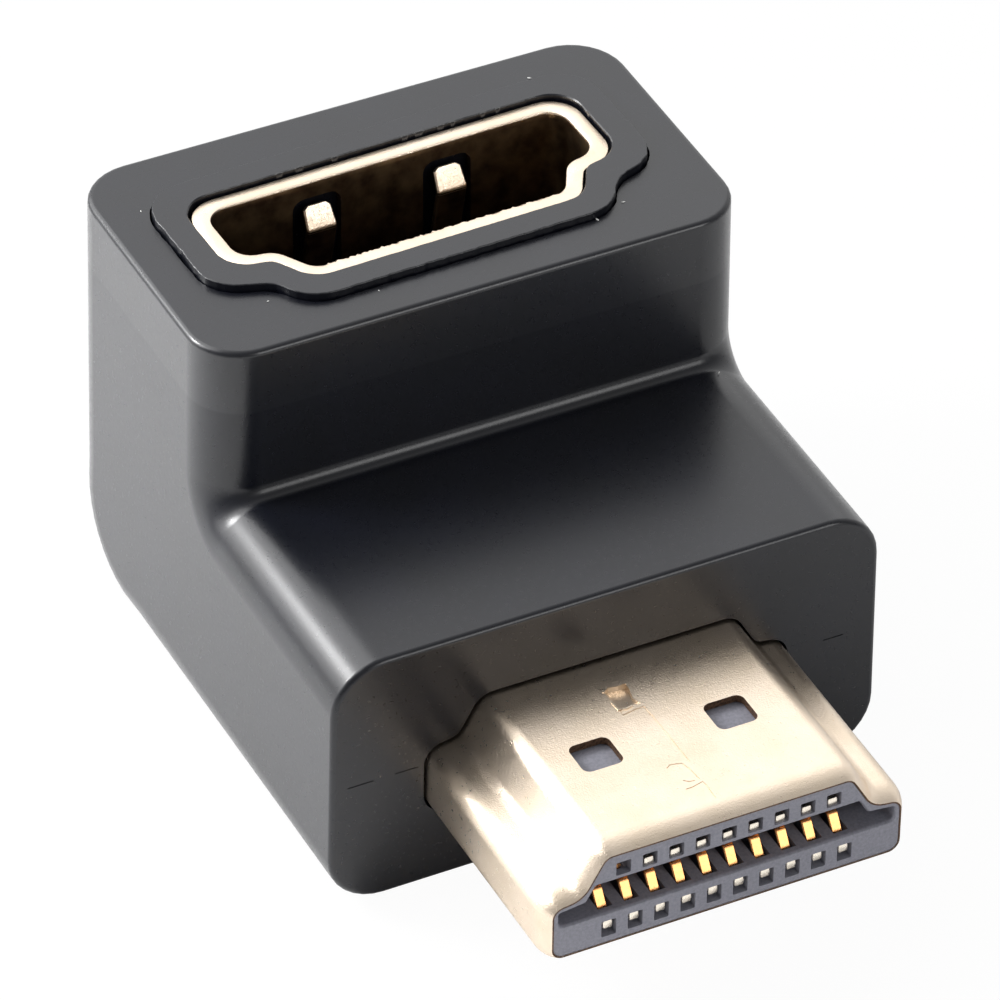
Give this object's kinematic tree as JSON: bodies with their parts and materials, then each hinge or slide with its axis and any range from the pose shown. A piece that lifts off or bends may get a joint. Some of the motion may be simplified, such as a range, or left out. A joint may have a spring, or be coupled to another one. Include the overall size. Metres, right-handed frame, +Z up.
{
  "type": "right angle hdmi adapter",
  "caption": "Right angle audio and video adapter: a flat plug and a socket of the same outline, turned 90 degrees in one L-shaped moulded body.",
  "frame": {"origin": "on the surface the adapter rests on, under the middle of its whole box, plug included", "axes": "+X across the plug, -Y the way the plug points, +Z up, the way the socket opens"},
  "size_m": [0.021, 0.0308, 0.0171],
  "materials": {
    "housing": "moulded PVC, satin",
    "inner_mould": "moulded polyethylene, satin",
    "board": "glass epoxy with solder mask",
    "plated_shell": "pale gold plating on pressed steel, glossy",
    "insulator": "moulded LCP, blue-grey",
    "tongue": "moulded nylon, cream",
    "contacts": "gold flash over nickel"
  },
  "bodies": {
    "root": {"circuit_board": "board", "housing": "housing", "inner_mould": "inner_mould", "plug_contact_narrow_01": "contacts", "plug_contact_narrow_02": "contacts", "plug_contact_narrow_03": "contacts", "plug_contact_narrow_04": "contacts", "plug_contact_narrow_05": "contacts", "plug_contact_narrow_06": "contacts", "plug_contact_narrow_07": "contacts", "plug_contact_narrow_08": "contacts", "plug_contact_narrow_09": "contacts", "plug_contact_wide_01": "contacts", "plug_contact_wide_02": "contacts", "plug_contact_wide_03": "contacts", "plug_contact_wide_04": "contacts", "plug_contact_wide_05": "contacts", "plug_contact_wide_06": "contacts", "plug_contact_wide_07": "contacts", "plug_contact_wide_08": "contacts", "plug_contact_wide_09": "contacts", "plug_contact_wide_10": "contacts", "plug_insulator": "insulator", "plug_shell": "plated_shell", "socket_contact_narrow_01": "contacts", "socket_contact_narrow_02": "contacts", "socket_contact_narrow_03": "contacts", "socket_contact_narrow_04": "contacts", "socket_contact_narrow_05": "contacts", "socket_contact_narrow_06": "contacts", "socket_contact_narrow_07": "contacts", "socket_contact_narrow_08": "contacts", "socket_contact_narrow_09": "contacts", "socket_contact_wide_01": "contacts", "socket_contact_wide_02": "contacts", "socket_contact_wide_03": "contacts", "socket_contact_wide_04": "contacts", "socket_contact_wide_05": "contacts", "socket_contact_wide_06": "contacts", "socket_contact_wide_07": "contacts", "socket_contact_wide_08": "contacts", "socket_contact_wide_09": "contacts", "socket_contact_wide_10": "contacts", "socket_insulator": "tongue", "socket_shell": "plated_shell"}
  },
  "joints": []
}
